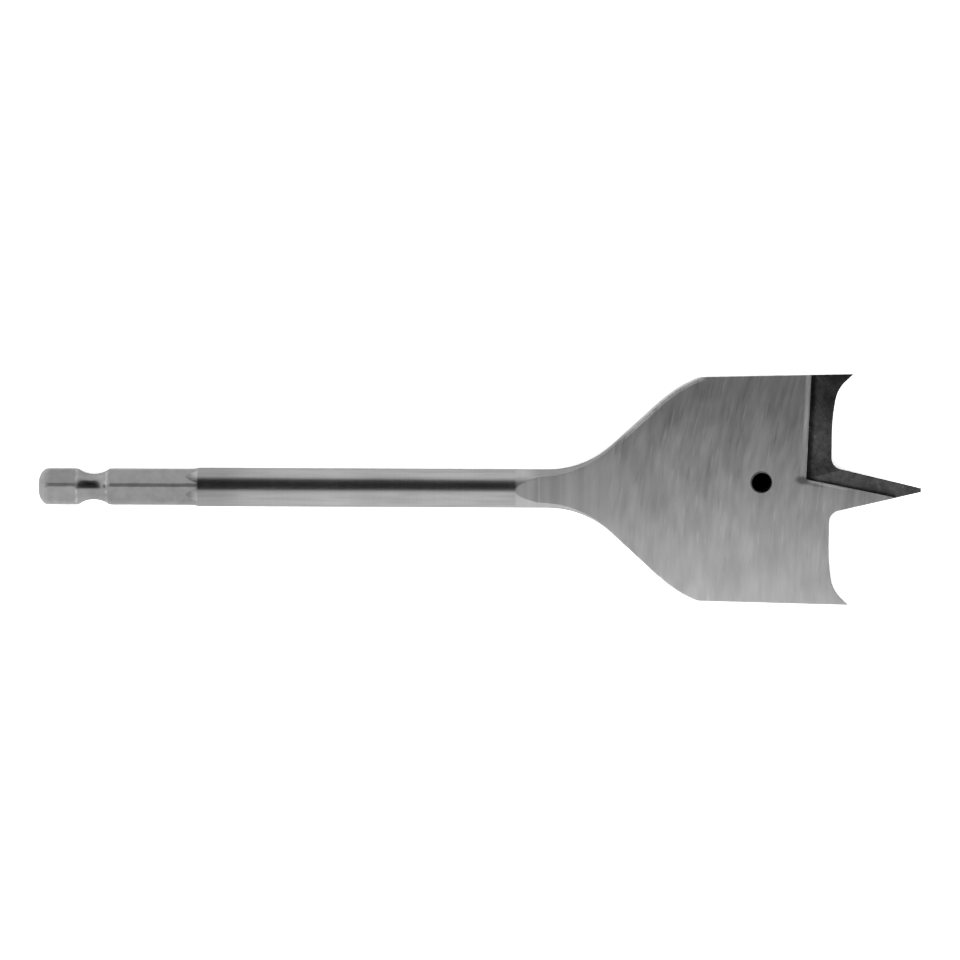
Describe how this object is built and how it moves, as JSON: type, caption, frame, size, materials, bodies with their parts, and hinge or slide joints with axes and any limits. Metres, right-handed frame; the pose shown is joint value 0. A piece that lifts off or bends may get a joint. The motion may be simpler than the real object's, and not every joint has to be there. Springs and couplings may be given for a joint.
{
  "type": "spade drill bit",
  "caption": "Flat spade drill bit for wood, with a hexagonal shank, a round shaft, and a blade with a long centre point and raised spurs.",
  "frame": {"origin": "centre of the end face of the hexagonal shank", "axes": "+X along the bit's axis towards the centre point, +Y across the blade, +Z square to the blade"},
  "size_m": [0.159, 0.0422, 0.007],
  "materials": {
    "ground_steel": "bare steel, turned on the shaft, ground across the blade and darker in the ground gashes"
  },
  "bodies": {
    "root": {"spade_bit": "ground_steel"}
  },
  "joints": []
}
